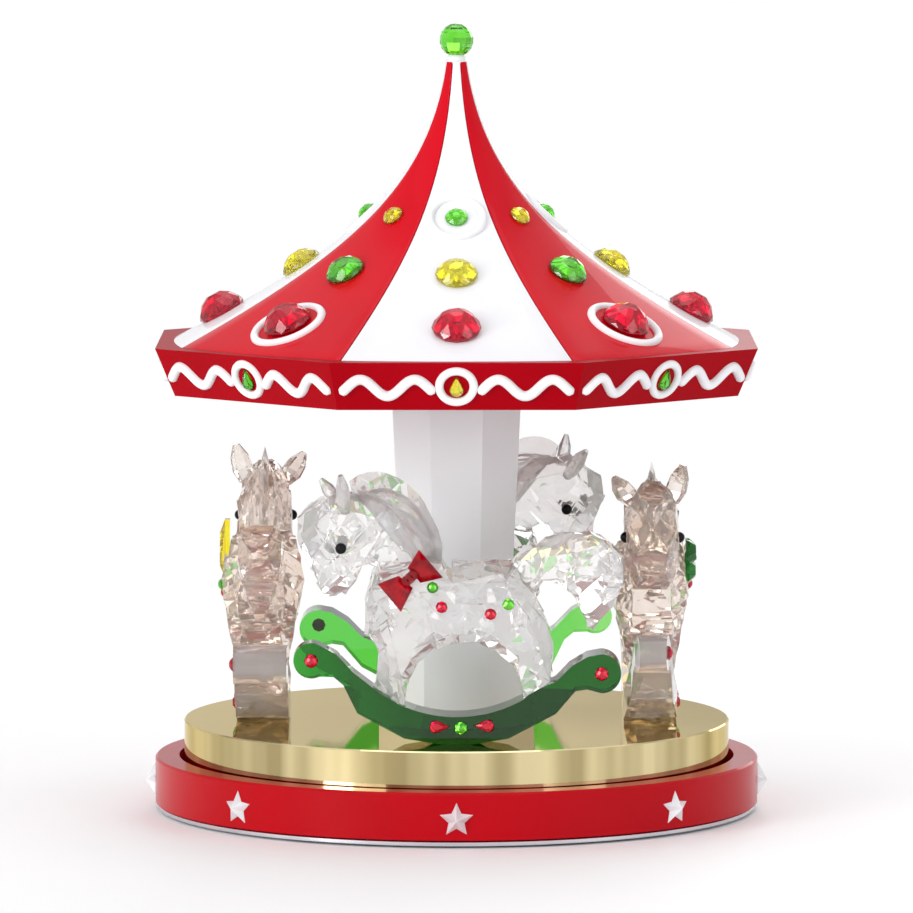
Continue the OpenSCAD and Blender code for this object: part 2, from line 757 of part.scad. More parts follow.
// three lobes, one leaf up and to the left
function leaf_r(a) = 2.6 + 3.4 * pow(abs(cos(1.5 * (a - 30))), 0.6);
module clover_shape() linear_extrude(2.4)
    polygon([for (a = [0 : 7.5 : 352.5]) [leaf_r(a) * cos(a), leaf_r(a) * sin(a)]]);

module red_bow() color("#a80f22") ornament(0) bow_shape();
module green_clover() color("#0f6b2c") ornament(90) clover_shape();
module green_bow() color("#0f6b2c") ornament(180) bow_shape();
module amber_bell() color("#d9a520") ornament(270) bell_shape();

// cylinder and governor

module pinned_row(i) {
    x = cylinder_x - 0.9 - i * (cylinder_l - 1) / comb_teeth;
    for (j = [0 : 1]) translate([x, 0, 0]) rotate([i * 67 + j * 154, 0, 0])
        cylinder(r = 0.2, h = cylinder_r + 0.5, $fn = 16);
}

module tune_cylinder() color("#c9a54a") translate([0, 0, arbor_z]) {
    difference() {
        union() {
            translate([cylinder_x, 0, 0]) rotate([0, -90, 0])
                cylinder(r = cylinder_r, h = cylinder_l);
            for (i = [0 : comb_teeth - 1]) pinned_row(i);
        }
        translate([cylinder_x + 1, 0, 0]) rotate([0, -90, 0])
            cylinder(r = arbor_r, h = cylinder_l + 2, $fn = 48);
    }
}

module cylinder_arbor() color("#9a9ea3") translate([0, 0, arbor_z]) rotate([0, -90, 0]) {
    translate([0, 0, 16.4]) cylinder(r = arbor_r, h = 34.6, $fn = 48);
    translate([0, 0, 17.6]) linear_extrude(2.4)
        polygon(wheel_outline(pinion_teeth, 3, 4.8, 12, 5));
    translate([0, 0, -wheel_x]) linear_extrude(1)
        polygon(wheel_outline(24, 5.3, 6.4, 3.8, 2.2));
}

module governor_wheel() color("#c9a54a") {
    translate([0, governor_y, arbor_z]) rotate([0, -90, 0]) {
        translate([0, 0, 45.2]) cylinder(r = arbor_r, h = 5.8, $fn = 48);
        translate([0, 0, -wheel_x]) linear_extrude(1) rotate(15)
            polygon(wheel_outline(12, 2.2, 3.4, 8, 4.5));
        translate([0, 0, -worm_wheel_x - 0.5]) linear_extrude(1) rotate(180 / worm_teeth)
            polygon(wheel_outline(worm_teeth, 4.1, 5.1, 4.6, 2.4));
    }
}

// the endless screw spins a two-bladed fan that holds the tune's speed steady
module governor_worm() color("#b9bcc0") translate([worm_wheel_x, worm_y, 0]) {
    lead = 2 * PI * worm_wheel_r / worm_teeth;
    fan_z = arbor_z + 5.4;
    translate([0, 0, bed_top + 0.5]) cylinder(r = 0.6, h = fan_z - bed_top - 0.5, $fn = 48);
    translate([0, 0, bed_top + 1.7]) cylinder(r = 1.1, h = 9, $fn = 48);
    translate([0, 0, arbor_z - lead]) rotate(-90)
        linear_extrude(height = 2 * lead, twist = -720, slices = 32, $fn = 8)
            translate([1.15, 0]) circle(r = 0.95, $fn = 14);
    translate([-4.5, -0.4, fan_z]) cube([9, 0.8, 1]);
}

base_ring();
base_stars();
bedplate();
bedplate_screws();
movement_frame();
comb();
comb_screws();
click_pawl();
winding_plate();
plate_pad();
plate_screws();
winding_arbor();
ratchet_wheel();
spring_barrel();
mainspring();
barrel_cover();
drive_hub();
turntable();
turntable_screws();
column_plinth();
column_shaft();
tie_rod();
canopy_tray();
roof_former();
roof_panels_red();
roof_panels_white();
finial_collar();
finial_ball();
skirt_piping();
roof_rings();
gems_red();
gems_yellow();
gems_green();
front_horse_body();
front_horse_mane();
front_horse_tail();
front_rocker();
red_bow();
right_horse_body();
right_horse_mane();
right_horse_tail();
right_rocker();
green_clover();
back_horse_body();
back_horse_mane();
back_horse_tail();
back_rocker();
green_bow();
left_horse_body();
left_horse_mane();
left_horse_tail();
left_rocker();
amber_bell();
horse_eyes();
horse_stones();
tune_cylinder();
cylinder_arbor();
governor_wheel();
governor_worm();
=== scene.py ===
import bmesh
import bpy
import json
from math import atan2, cos, degrees, hypot, pi, radians, sin
from mathutils import Matrix, Vector, noise


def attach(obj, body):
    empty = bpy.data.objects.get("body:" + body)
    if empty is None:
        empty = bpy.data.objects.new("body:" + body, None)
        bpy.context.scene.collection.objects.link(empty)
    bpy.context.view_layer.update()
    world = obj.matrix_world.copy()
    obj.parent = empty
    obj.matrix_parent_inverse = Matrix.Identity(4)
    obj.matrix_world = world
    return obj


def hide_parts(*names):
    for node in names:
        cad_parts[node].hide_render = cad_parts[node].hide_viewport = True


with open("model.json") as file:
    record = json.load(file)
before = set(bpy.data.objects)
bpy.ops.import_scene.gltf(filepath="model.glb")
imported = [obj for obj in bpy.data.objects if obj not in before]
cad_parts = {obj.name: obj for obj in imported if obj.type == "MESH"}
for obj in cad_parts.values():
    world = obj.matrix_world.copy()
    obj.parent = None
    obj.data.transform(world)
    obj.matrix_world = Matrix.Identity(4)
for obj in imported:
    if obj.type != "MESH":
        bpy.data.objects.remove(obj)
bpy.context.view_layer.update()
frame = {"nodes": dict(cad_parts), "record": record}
scene = bpy.context.scene
mm = 0.001


# ---- mesh helpers, all in millimetres until a piece is finished ----

def turned(axis, angle):
    return Matrix.Rotation(radians(angle), 4, axis)


def moved(x, y, z):
    return Matrix.Translation((x, y, z))


def shift(bm, matrix):
    bmesh.ops.transform(bm, matrix=matrix, verts=bm.verts)
    return bm


def settle(bm):
    bmesh.ops.remove_doubles(bm, verts=bm.verts, dist=0.004)
    bmesh.ops.recalc_face_normals(bm, faces=bm.faces)
    return bm


def gather(target, part, matrix=None):
    loose = bpy.data.meshes.new("loose")
    part.to_mesh(loose)
    if matrix is not None:
        loose.transform(matrix)
        if matrix.determinant() < 0:
            loose.flip_normals()
    target.from_mesh(loose)
    bpy.data.meshes.remove(loose)
    return target


def around(part, count, start=0.0, step=None):
    ring = bmesh.new()
    for k in range(count):
        gather(ring, part, turned("Z", start + k * (step or 360 / count)))
    return ring


def sharpBorders(bm, angle):
    return [e for e in bm.edges if e.calc_face_angle(0) > radians(angle)]


def easeEdges(bm, edges, width, segments=2, clamp=True):
    bmesh.ops.bevel(bm, geom=edges, offset=width, segments=segments, profile=0.5,
                    affect="EDGES", clamp_overlap=clamp, material=-1)
    return bm


def finishPiece(name, bm, body, slot, stands=(), smooth=0, finish=None):
    bmesh.ops.scale(bm, vec=(mm, mm, mm), verts=bm.verts)
    for face in bm.faces:
        face.smooth = smooth > 0
    for edge in bm.edges:
        edge.smooth = edge.calc_face_angle(0) < radians(smooth)
    mesh = bpy.data.meshes.new(name)
    bm.to_mesh(mesh)
    bm.free()
    piece = bpy.data.objects.new(name, mesh)
    scene.collection.objects.link(piece)
    mesh.materials.append(finishes[finish or slot])
    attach(piece, body)
    if stands:
        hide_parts(*stands)
    return piece


def pull(bm, face, way, keep=False):
    # extrudes one face along a vector and gives the new face with its corners
    pulled = bmesh.ops.extrude_face_region(bm, geom=[face], use_keep_orig=True)
    corners = [v for v in pulled["geom"] if isinstance(v, bmesh.types.BMVert)]
    if not keep:
        bmesh.ops.delete(bm, geom=[face], context="FACES_ONLY")
    bmesh.ops.translate(bm, vec=way, verts=corners)
    return [f for f in pulled["geom"] if isinstance(f, bmesh.types.BMFace)][0], corners


def slab(outline, half, chamfer=0.0, segments=1):
    bm = bmesh.new()
    pull(bm, bm.faces.new([bm.verts.new((x, -half, z)) for x, z in outline]),
         (0, 2 * half, 0), keep=True)
    settle(bm)
    if chamfer:
        rim = [e for e in bm.edges if any(abs(f.normal.y) > 0.9 for f in e.link_faces)]
        easeEdges(bm, rim, chamfer, segments, clamp=False)
    return bm


def slice(bm, point, normal):
    cut = bmesh.ops.bisect_plane(bm, geom=bm.verts[:] + bm.edges[:] + bm.faces[:],
                                 dist=0.001, plane_co=point, plane_no=normal, clear_outer=True)
    rim = [e for e in cut["geom_cut"] if isinstance(e, bmesh.types.BMEdge)]
    if rim:
        bmesh.ops.holes_fill(bm, edges=rim, sides=0)


def grind(bm, cuts):
    # each cut is x, z, half width there, and how the facet leans along x and z
    for x, z, half, leanX, leanZ in cuts:
        for side in (-1, 1):
            slice(bm, (x, side * half, z), Vector((leanX, side, leanZ)).normalized())
    return bm


def cutFacets(bm, cut):
    # planes score the surface, then each new corner sinks a little for small real facets
    for way in cut["ways"]:
        normal = Vector(way).normalized()
        reach = [v.co.dot(normal) for v in bm.verts]
        level = min(reach) + cut["every"] * 0.7
        while level < max(reach) - 0.5:
            bmesh.ops.bisect_plane(bm, geom=bm.verts[:] + bm.edges[:] + bm.faces[:], dist=0.001,
                                   plane_co=normal * level, plane_no=normal)
            level += cut["every"]
    bmesh.ops.triangulate(bm, faces=bm.faces[:])
    bm.normal_update()
    for v in bm.verts:
        v.co -= v.normal * cut["deep"] * noise.cell(v.co * 1.7 + Vector((50, 50, 50)))
    bm.normal_update()
    return bm


def asObject(bm, name):
    mesh = bpy.data.meshes.new(name)
    bm.to_mesh(mesh)
    bm.free()
    piece = bpy.data.objects.new(name, mesh)
    scene.collection.objects.link(piece)
    return piece


def weld(first, second, how="UNION"):
    a, b = asObject(first, "first"), asObject(second, "second")
    joint = a.modifiers.new("weld", "BOOLEAN")
    joint.operation, joint.object, joint.solver = how, b, "EXACT"
    graph = bpy.context.evaluated_depsgraph_get()
    result = bmesh.new()
    result.from_mesh(a.evaluated_get(graph).to_mesh())
    for piece in (a, b):
        mesh = piece.data
        bpy.data.objects.remove(piece)
        bpy.data.meshes.remove(mesh)
    return result


def tube(points, radius, closed=False, roundEnds=True):
    curve = bpy.data.curves.new("tube", "CURVE")
    curve.dimensions, curve.bevel_depth, curve.bevel_resolution = "3D", radius, 4
    curve.use_fill_caps = not closed
    line = curve.splines.new("POLY")
    line.points.add(len(points) - 1)
    line.use_cyclic_u = closed
    for spot, at in zip(line.points, points):
        spot.co = (*at, 1)
    if roundEnds and not closed:
        for end in (points[0], points[-1]):
            for spot in line.points:
                away = (Vector(spot.co[:3]) - Vector(end)).length
                if away < radius:
                    spot.radius = max(0.12, (1 - (1 - away / radius) ** 2) ** 0.5)
    holder = bpy.data.objects.new("tube", curve)
    scene.collection.objects.link(holder)
    bm = bmesh.new()
    bm.from_mesh(holder.evaluated_get(bpy.context.evaluated_depsgraph_get()).to_mesh())
    bpy.data.objects.remove(holder)
    bpy.data.curves.remove(curve)
    return settle(bm)


def lathe(profile, steps=144):
    bm = bmesh.new()
    spots = [bm.verts.new((r, 0, z)) for r, z in profile]
    line = [bm.edges.new(pair) for pair in zip(spots, spots[1:])]
    bmesh.ops.spin(bm, geom=spots + line, cent=(0, 0, 0), axis=(0, 0, 1), angle=2 * pi,
                   steps=steps, use_merge=True, use_duplicate=False)
    return settle(bm)


def hull(*rings):
    bm = bmesh.new()
    for radius, level, turn, count in rings:
        bmesh.ops.create_circle(bm, segments=count, radius=radius,
                                matrix=moved(0, 0, level) @ turned("Z", turn))
    bmesh.ops.delete(bm, geom=bm.edges[:], context="EDGES_FACES")
    bmesh.ops.convex_hull(bm, input=bm.verts[:])
    return settle(bm)


# ---- finishes: one look per material slot of the record ----

glassSockets = {"Transmission Weight": 0.76, "IOR": 1.54}
champagneSockets = {"Transmission Weight": 0.86, "IOR": 1.54}
stoneSockets = {"Transmission Weight": 0.96, "IOR": 1.55, "Specular IOR Level": 0.4}
enamelSockets = {"Transmission Weight": 0.7, "IOR": 1.45, "Specular IOR Level": 0.25}
foilSockets = {"Metallic": 0.85, "Specular IOR Level": 0.4}
clearGreenSockets = {"Transmission Weight": 1.0, "IOR": 1.5, "Specular IOR Level": 0.25}
lacquerSockets = {"Specular IOR Level": 0.05, "Coat Weight": 0.5, "Coat IOR": 1.22,
                  "Coat Roughness": 0.02}
metalSockets = {"Metallic": 1.0}
giltSockets = {"Metallic": 1.0, "Specular Tint": (0.90, 0.80, 0.55, 1)}

looks = {
    # a lighter copy of the red lacquer for the roof panels: painted light on the up-facing roof
    "roofRed": dict(color=(0.62, 0.002, 0.012), second=(0.56, 0.0, 0.010), cloud=30,
                    rough=(0.32, 0.4), bump=0.02, grain=900, sockets=lacquerSockets),
    # a darker copy of the red lacquer for the skirt, which faces downwards: painted shade
    "skirtRed": dict(color=(0.38, 0.0, 0.006), second=(0.34, 0.0, 0.005), cloud=30,
                     rough=(0.32, 0.4), bump=0.02, grain=900, sockets={"Specular IOR Level": 0.04}),
    "red_lacquer": dict(color=(0.46, 0.0, 0.006), second=(0.42, 0.0, 0.005), cloud=30,
                        rough=(0.32, 0.4), bump=0.02, grain=900, sockets=lacquerSockets),
    "white_lacquer": dict(color=(0.86, 0.86, 0.88), second=(0.80, 0.80, 0.83), cloud=25,
                          rough=(0.34, 0.42), bump=0.02, grain=900, sockets=lacquerSockets),
    # a brighter, cool-tinted copy of the white lacquer for the column: painted light against the shade
    # under the canopy and the red bounce light
    "columnPaint": dict(color=(0.90, 0.95, 0.98), second=(0.87, 0.92, 0.95), cloud=25,
                        rough=(0.34, 0.42), bump=0.02, grain=900, sockets=lacquerSockets),
    "icing_white": dict(color=(0.90, 0.90, 0.91), second=(0.83, 0.83, 0.86), cloud=160,
                        rough=(0.25, 0.4), bump=0.06, grain=500, sockets=lacquerSockets),
    "silver_plate": dict(color=(0.72, 0.73, 0.76), second=(0.60, 0.62, 0.66), cloud=60,
                         rough=(0.16, 0.3), bump=0.05, grain=1500, sockets=metalSockets),
    "starSilver": dict(color=(0.88, 0.89, 0.91), second=(0.78, 0.79, 0.82), cloud=120,
                       rough=(0.18, 0.3), bump=0.03, grain=1200, sockets={"Metallic": 0.35}),
    "foil": dict(color=(0.92, 0.93, 0.95), second=(0.84, 0.85, 0.88), cloud=300,
                 rough=(0.08, 0.16), bump=0.02, grain=900, sockets=foilSockets),
    # the gilt drum's wall has painted reflection bands multiplied into its colour
    "gilt": dict(color=(0.82, 0.71, 0.42), second=(0.78, 0.66, 0.37), cloud=18,
                 rough=(0.03, 0.07), bump=0.008, grain=1200, sockets=giltSockets, turning=True),
    "zinc": dict(color=(0.52, 0.54, 0.56), second=(0.42, 0.44, 0.47), cloud=90,
                 rough=(0.35, 0.5), bump=0.15, grain=700, sockets=metalSockets),
    "steel": dict(color=(0.60, 0.60, 0.61), second=(0.50, 0.50, 0.52), cloud=120,
                  rough=(0.22, 0.36), bump=0.08, grain=1600, sockets=metalSockets),
    "movement_brass": dict(color=(0.78, 0.56, 0.24), second=(0.66, 0.45, 0.17), cloud=110,
                           rough=(0.2, 0.34), bump=0.06, grain=1500, sockets=metalSockets),
    "spring_steel": dict(color=(0.34, 0.36, 0.42), second=(0.24, 0.27, 0.34), cloud=140,
                         rough=(0.25, 0.4), bump=0.06, grain=1500, sockets=metalSockets),
    "felt": dict(color=(0.025, 0.025, 0.028), second=(0.05, 0.05, 0.055), cloud=600,
                 rough=(0.9, 1.0), bump=0.6, grain=2600, sockets={"Sheen Weight": 0.4}),
    "former_board": dict(color=(0.055, 0.014, 0.014), second=(0.09, 0.03, 0.026), cloud=300,
                         rough=(0.75, 0.9), bump=0.3, grain=1500, sockets={}),
    "red_stone": dict(color=(0.86, 0.0, 0.04), second=(0.70, 0.0, 0.02), cloud=220,
                      rough=(0.0, 0.02), bump=0.0, grain=500, sockets=stoneSockets),
    "yellow_stone": dict(color=(1.0, 0.90, 0.05), second=(0.97, 0.78, 0.01), cloud=220,
                         rough=(0.0, 0.02), bump=0.0, grain=500, sockets=stoneSockets),
    "green_stone": dict(color=(0.20, 0.82, 0.05), second=(0.10, 0.68, 0.02), cloud=220,
                        rough=(0.0, 0.02), bump=0.0, grain=500, sockets=stoneSockets),
    "eye_black": dict(color=(0.004, 0.004, 0.005), second=(0.012, 0.012, 0.014), cloud=400,
                      rough=(0.04, 0.1), bump=0.01, grain=900, sockets=lacquerSockets),
    "clear_crystal": dict(color=(1.0, 1.0, 1.0), second=(0.985, 0.97, 0.95), cloud=55,
                          rough=(0.0, 0.01), bump=0.0, grain=300, sockets=glassSockets,
                          facets=(210, 0.30)),
    "champagne_crystal": dict(color=(1.0, 0.96, 0.92), second=(0.98, 0.86, 0.77), cloud=70,
                              rough=(0.0, 0.01), bump=0.0, grain=300, sockets=champagneSockets,
                              depth=((0.98, 0.76, 0.60), 8), facets=(230, 0.32)),
    "green_glass": dict(color=(0.72, 0.98, 0.55), second=(0.62, 0.95, 0.45), cloud=50,
                        rough=(0.0, 0.02), bump=0.0, grain=300, sockets=clearGreenSockets,
                        depth=((0.12, 0.72, 0.03), 620)),
    "paleGreenGlass": dict(color=(0.82, 0.99, 0.66), second=(0.72, 0.97, 0.55), cloud=50,
                           rough=(0.0, 0.02), bump=0.0, grain=300, sockets=clearGreenSockets,
                           depth=((0.16, 0.80, 0.05), 190)),
    "champagne_glass": dict(color=(1.0, 0.97, 0.95), second=(1.0, 0.92, 0.89), cloud=60,
                            rough=(0.0, 0.02), bump=0.0, grain=300, sockets=glassSockets,
                            depth=((1.0, 0.80, 0.76), 3), facets=(150, 0.22)),
    "deepRedGlass": dict(color=(0.75, 0.0, 0.015), second=(0.38, 0.0, 0.008), cloud=320,
                         rough=(0.0, 0.04), bump=0.0, grain=300, sockets=enamelSockets),
    "deepGreenGlass": dict(color=(0.03, 0.40, 0.05), second=(0.01, 0.20, 0.02), cloud=320,
                           rough=(0.0, 0.04), bump=0.0, grain=300, sockets=enamelSockets),
}


def makeFinish(name, look):
    material = bpy.data.materials.new(name)
    material.use_nodes = True
    nodes, links = material.node_tree.nodes, material.node_tree.links
    shader = nodes["Principled BSDF"]
    for socket, value in look["sockets"].items():
        shader.inputs[socket].default_value = value
    place = nodes.new("ShaderNodeTexCoord")
    cloud = nodes.new("ShaderNodeTexNoise")
    cloud.inputs["Scale"].default_value = look["cloud"]
    cloud.inputs["Detail"].default_value = 3
    links.new(place.outputs["Object"], cloud.inputs["Vector"])
    tint = nodes.new("ShaderNodeValToRGB")
    tint.color_ramp.elements[0].position, tint.color_ramp.elements[1].position = 0.35, 0.65
    tint.color_ramp.elements[0].color = (*look["second"], 1)
    tint.color_ramp.elements[1].color = (*look["color"], 1)
    links.new(cloud.outputs["Fac"], tint.inputs["Fac"])
    links.new(tint.outputs["Color"], shader.inputs["Base Color"])
    polish = nodes.new("ShaderNodeMapRange")
    polish.inputs["To Min"].default_value, polish.inputs["To Max"].default_value = look["rough"]
    links.new(cloud.outputs["Fac"], polish.inputs["Value"])
    links.new(polish.outputs["Result"], shader.inputs["Roughness"])
    if look["bump"]:
        grain = nodes.new("ShaderNodeTexNoise")
        grain.inputs["Scale"].default_value = look["grain"]
        links.new(place.outputs["Object"], grain.inputs["Vector"])
        relief = nodes.new("ShaderNodeBump")
        relief.inputs["Strength"].default_value = look["bump"]
        relief.inputs["Distance"].default_value = 0.0002
        links.new(grain.outputs["Fac"], relief.inputs["Height"])
        links.new(relief.outputs["Normal"], shader.inputs["Normal"])
    if look.get("depth"):
        absorb = nodes.new("ShaderNodeVolumeAbsorption")  # thick glass darker than its edges
        absorb.inputs["Color"].default_value = (*look["depth"][0], 1)
        absorb.inputs["Density"].default_value = look["depth"][1]
        links.new(absorb.outputs["Volume"], nodes["Material Output"].inputs["Volume"])
    # painted reflection bands multiplied into the base colour
    if look.get("turning"):
        addPaintedReflectionBands(nodes, links, place, tint, shader)
    if look.get("facets"):
        addFacets(nodes, links, place, shader, *look["facets"])
    return material


def addFacets(nodes, links, place, shader, scale, lean):
    # small cut facets: every cell of the pattern leans the surface its own way
    cells = nodes.new("ShaderNodeTexVoronoi")
    cells.inputs["Scale"].default_value = scale
    links.new(place.outputs["Object"], cells.inputs["Vector"])
    centred = nodes.new("ShaderNodeVectorMath")
    centred.operation = "SUBTRACT"
    centred.inputs[1].default_value = (0.5, 0.5, 0.5)
    links.new(cells.outputs["Color"], centred.inputs[0])
    tilt = nodes.new("ShaderNodeVectorMath")
    tilt.operation = "SCALE"
    tilt.inputs["Scale"].default_value = lean
    links.new(centred.outputs["Vector"], tilt.inputs[0])
    facing = nodes.new("ShaderNodeNewGeometry")
    leaned = nodes.new("ShaderNodeVectorMath")
    links.new(facing.outputs["Normal"], leaned.inputs[0])
    links.new(tilt.outputs["Vector"], leaned.inputs[1])
    unit = nodes.new("ShaderNodeVectorMath")
    unit.operation = "NORMALIZE"
    links.new(leaned.outputs["Vector"], unit.inputs[0])
    links.new(unit.outputs["Vector"], shader.inputs["Normal"])


def addPaintedReflectionBands(nodes, links, place, tint, shader):
    # painted reflection: light and dark vertical bands multiplied into the drum wall's colour in place of
    # the studio's reflections, strongest where the surface stands upright
    sweep = nodes.new("ShaderNodeTexGradient")
    sweep.gradient_type = "RADIAL"
    links.new(place.outputs["Object"], sweep.inputs["Vector"])
    bandWobble = nodes.new("ShaderNodeTexNoise")
    bandWobble.noise_dimensions = "1D"
    bandWobble.inputs["Scale"].default_value = 26
    bandWobble.inputs["Detail"].default_value = 2
    links.new(sweep.outputs["Fac"], bandWobble.inputs["W"])
    paintedReflectionRamp = nodes.new("ShaderNodeValToRGB")
    paintedReflectionRamp.color_ramp.elements[0].position, paintedReflectionRamp.color_ramp.elements[1].position = 0.38, 0.6
    paintedReflectionRamp.color_ramp.elements[0].color = (0.50, 0.47, 0.39, 1)
    paintedReflectionRamp.color_ramp.elements[1].color = (0.90, 0.88, 0.84, 1)
    links.new(bandWobble.outputs["Fac"], paintedReflectionRamp.inputs["Fac"])
    facing = nodes.new("ShaderNodeNewGeometry")
    up = nodes.new("ShaderNodeSeparateXYZ")
    links.new(facing.outputs["Normal"], up.inputs["Vector"])
    wall = nodes.new("ShaderNodeMapRange")
    wall.inputs["From Max"].default_value = 0.4
    wall.inputs["To Min"].default_value, wall.inputs["To Max"].default_value = 1, 0
    links.new(up.outputs["Z"], wall.inputs["Value"])
    blend = nodes.new("ShaderNodeMix")
    blend.data_type, blend.blend_type = "RGBA", "MULTIPLY"
    links.new(wall.outputs["Result"], blend.inputs["Factor"])
    links.new(tint.outputs["Color"], blend.inputs["A"])
    links.new(paintedReflectionRamp.outputs["Color"], blend.inputs["B"])
    links.new(blend.outputs["Result"], shader.inputs["Base Color"])


finishes = {name: makeFinish(name, look) for name, look in looks.items()}
print("finishes made:", len(finishes))

# ---- finishes for the CAD nodes that stay ----

slotOf = {entry["node"]: entry["material_slot"] for entry in frame["record"]["subparts"]}
# the column takes the brighter, painted-light copy of the white lacquer
ownFinish = {"column_shaft": "columnPaint", "column_plinth": "columnPaint",
             # the canopy tray takes the darker, painted-shade copy of the red lacquer
             "canopy_tray": "skirtRed"}
for name, node in frame["nodes"].items():
    node.data.materials.clear()
    node.data.materials.append(finishes[ownFinish.get(name, slotOf[name])])

# ---- roof: eight gores between two corner lines, each half bulged ----

roof = {
    "poles": ((2.6, 176), (7, 147), (26.5, 132), (69, 110.8)),  # collar to skirt, radius and height
    "bulge": 0.5, "thick": 1.2, "seam": 0.16, "across": 10, "along": 36, "edge": 0.28,
}


def roofCurve(t):
    weights = ((1 - t) ** 3, 3 * t * (1 - t) ** 2, 3 * t * t * (1 - t), t ** 3)
    return [sum(w * pole[i] for w, pole in zip(weights, roof["poles"])) for i in (0, 1)]


def roofLean(t):
    ahead, behind = roofCurve(min(1, t + 0.001)), roofCurve(max(0, t - 0.001))
    return degrees(atan2(behind[1] - ahead[1], ahead[0] - behind[0]))  # angle down from level


def swell(angle):
    return roof["bulge"] + (1 - roof["bulge"]) * cos(pi / 8) / cos(angle)


def gore():
    bm = bmesh.new()
    bmesh.ops.create_grid(bm, x_segments=roof["across"], y_segments=roof["along"], size=0.5)
    for v in bm.verts:
        radius, height = roofCurve(0.5 - v.co.y)
        angle = 2 * v.co.x * (pi / 8 - roof["seam"] / radius)
        reach = radius * swell(angle)
        v.co = (reach * cos(angle), reach * sin(angle), height)
    bmesh.ops.recalc_face_normals(bm, faces=bm.faces)
    if sum((f.normal.z for f in bm.faces)) < 0:
        bmesh.ops.reverse_faces(bm, faces=bm.faces)
    bmesh.ops.solidify(bm, geom=bm.faces[:], thickness=roof["thick"])
    for v in bm.verts:
        v.co.z = max(v.co.z, roof["poles"][3][1])
    settle(bm)
    return easeEdges(bm, sharpBorders(bm, 50), roof["edge"])


def onRoof(t, turn):
    radius, height = roofCurve(t)
    return turned("Z", turn) @ moved(radius * swell(0), 0, height) @ turned("Y", 90 - (90 - roofLean(t)))


finishPiece("roofPanelsWhite", around(gore(), 4), "carousel", "white_lacquer",
            ["roof_panels_white"], smooth=35)
# the red gores take the lighter, painted-light copy of the red lacquer
finishPiece("roofPanelsRed", around(gore(), 4, start=45), "carousel", "red_lacquer",
            ["roof_panels_red"], smooth=35, finish="roofRed")
print("roof panels made")

# ---- icing: rings on the roof, rings and waves round the skirt ----

skirt = {"topR": 75.5, "lowR": 70.6, "topZ": 110.8, "lowZ": 99.7}
icing = {
    "roofRings": ((0.5, 0, 6.2, 0.9), (0.9, 45, 8.2, 1.0)),  # place on the curve, turn, radius, tube
    "ringR": 3.9, "ringTube": 0.98,
    "waveR": 1.22, "waveStart": 4.9, "waveEnd": 26.5, "waveHigh": 2.1, "waveHalf": 6.17, "lag": 3.28,
    "waveDrop": 0.3,
}
skirtMid = (skirt["topR"] + skirt["lowR"]) / 2 * cos(pi / 8)
skirtLean = degrees(atan2((skirt["topR"] - skirt["lowR"]) * cos(pi / 8),
                          skirt["topZ"] - skirt["lowZ"]))


def onSkirt(k):
    return (turned("Z", 45 * k) @ moved(skirtMid, 0, (skirt["topZ"] + skirt["lowZ"]) / 2)
            @ turned("Y", skirtLean) @ turned("Z", 90) @ turned("X", 90))


def hoop(radius, thick, steps=64):
    circle = [(radius * cos(2 * pi * i / steps), radius * sin(2 * pi * i / steps), 0)
              for i in range(steps)]
    return tube(circle, thick, closed=True)


rings = bmesh.new()
for t, start, radius, thick in icing["roofRings"]:
    for k in range(4):
        gather(rings, hoop(radius, thick), onRoof(t, start + 90 * k))
finishPiece("roofRings", rings, "carousel", "icing_white", ["roof_rings"], smooth=60)

wavePoints = []
x = icing["waveStart"]
while x <= icing["waveEnd"]:
    phase = pi * (x - icing["lag"]) / icing["waveHalf"]
    wavePoints.append((x, -icing["waveHigh"] * cos(phase) - icing["waveDrop"], 0))
    x += 0.4
wave = tube(wavePoints, icing["waveR"])
piping = bmesh.new()
for k in range(8):
    gather(piping, hoop(icing["ringR"], icing["ringTube"]), onSkirt(k))
    gather(piping, wave, onSkirt(k))
    gather(piping, wave, onSkirt(k) @ Matrix.Scale(-1, 4, (1, 0, 0)))
finishPiece("skirtPiping", piping, "carousel", "icing_white", ["skirt_piping"], smooth=60)
print("icing made")

# ---- cut stones on the roof and skirt ----

stones = {
    "top": (0.5, 2.7, 2.0), "mid": (0.71, 5.0, 3.6), "low": (0.9, 5.75, 5.0),  # place, radius, height
    "topRed": (0.5, 2.6, 2.0), "midRed": (0.71, 4.75, 3.6),
    "drop": (1.65, 5.1, 1.4), "sides": 12,
}


def roundStone(radius, height, sides=12):
    half = 180 / sides
    return hull((radius * 0.9, -0.15, 0, sides), (radius, height * 0.16, 0, sides),
                (radius * 0.93, height * 0.36, half, sides),
                (radius * 0.66, height * 0.76, 0, sides),
                (radius * 0.32, height, half, sides // 2))


def dropStone(radius, length, height):
    bm = hull((radius, 0, 0, 12), (radius * 0.98, height * 0.35, 0, 12),
              (radius * 0.55, height, 15, 6))
    for v in bm.verts:
        if v.co.y > 0:
            push = v.co.y / radius
            v.co.y *= (length - radius) / radius
            v.co.x *= 1 - 0.75 * push
    return shift(bm, moved(0, radius - length / 2, 0))


def foilCone(radius, height, sides=8):
    # the bright backing under a stone, its facets showing through the cut top
    return hull((radius * 0.8, -0.1, 0, sides), (radius * 0.86, height * 0.12, 0, sides),
                (radius * 0.3, height * 0.5, 180 / sides, sides))


def setStones(target, size, start):
    t, radius, height = stones[size]
    for k in range(4):
        place = onRoof(t, start + 90 * k)
        gather(target, roundStone(radius, height, stones["sides"]), place)
        gather(foils, foilCone(radius, height), place)


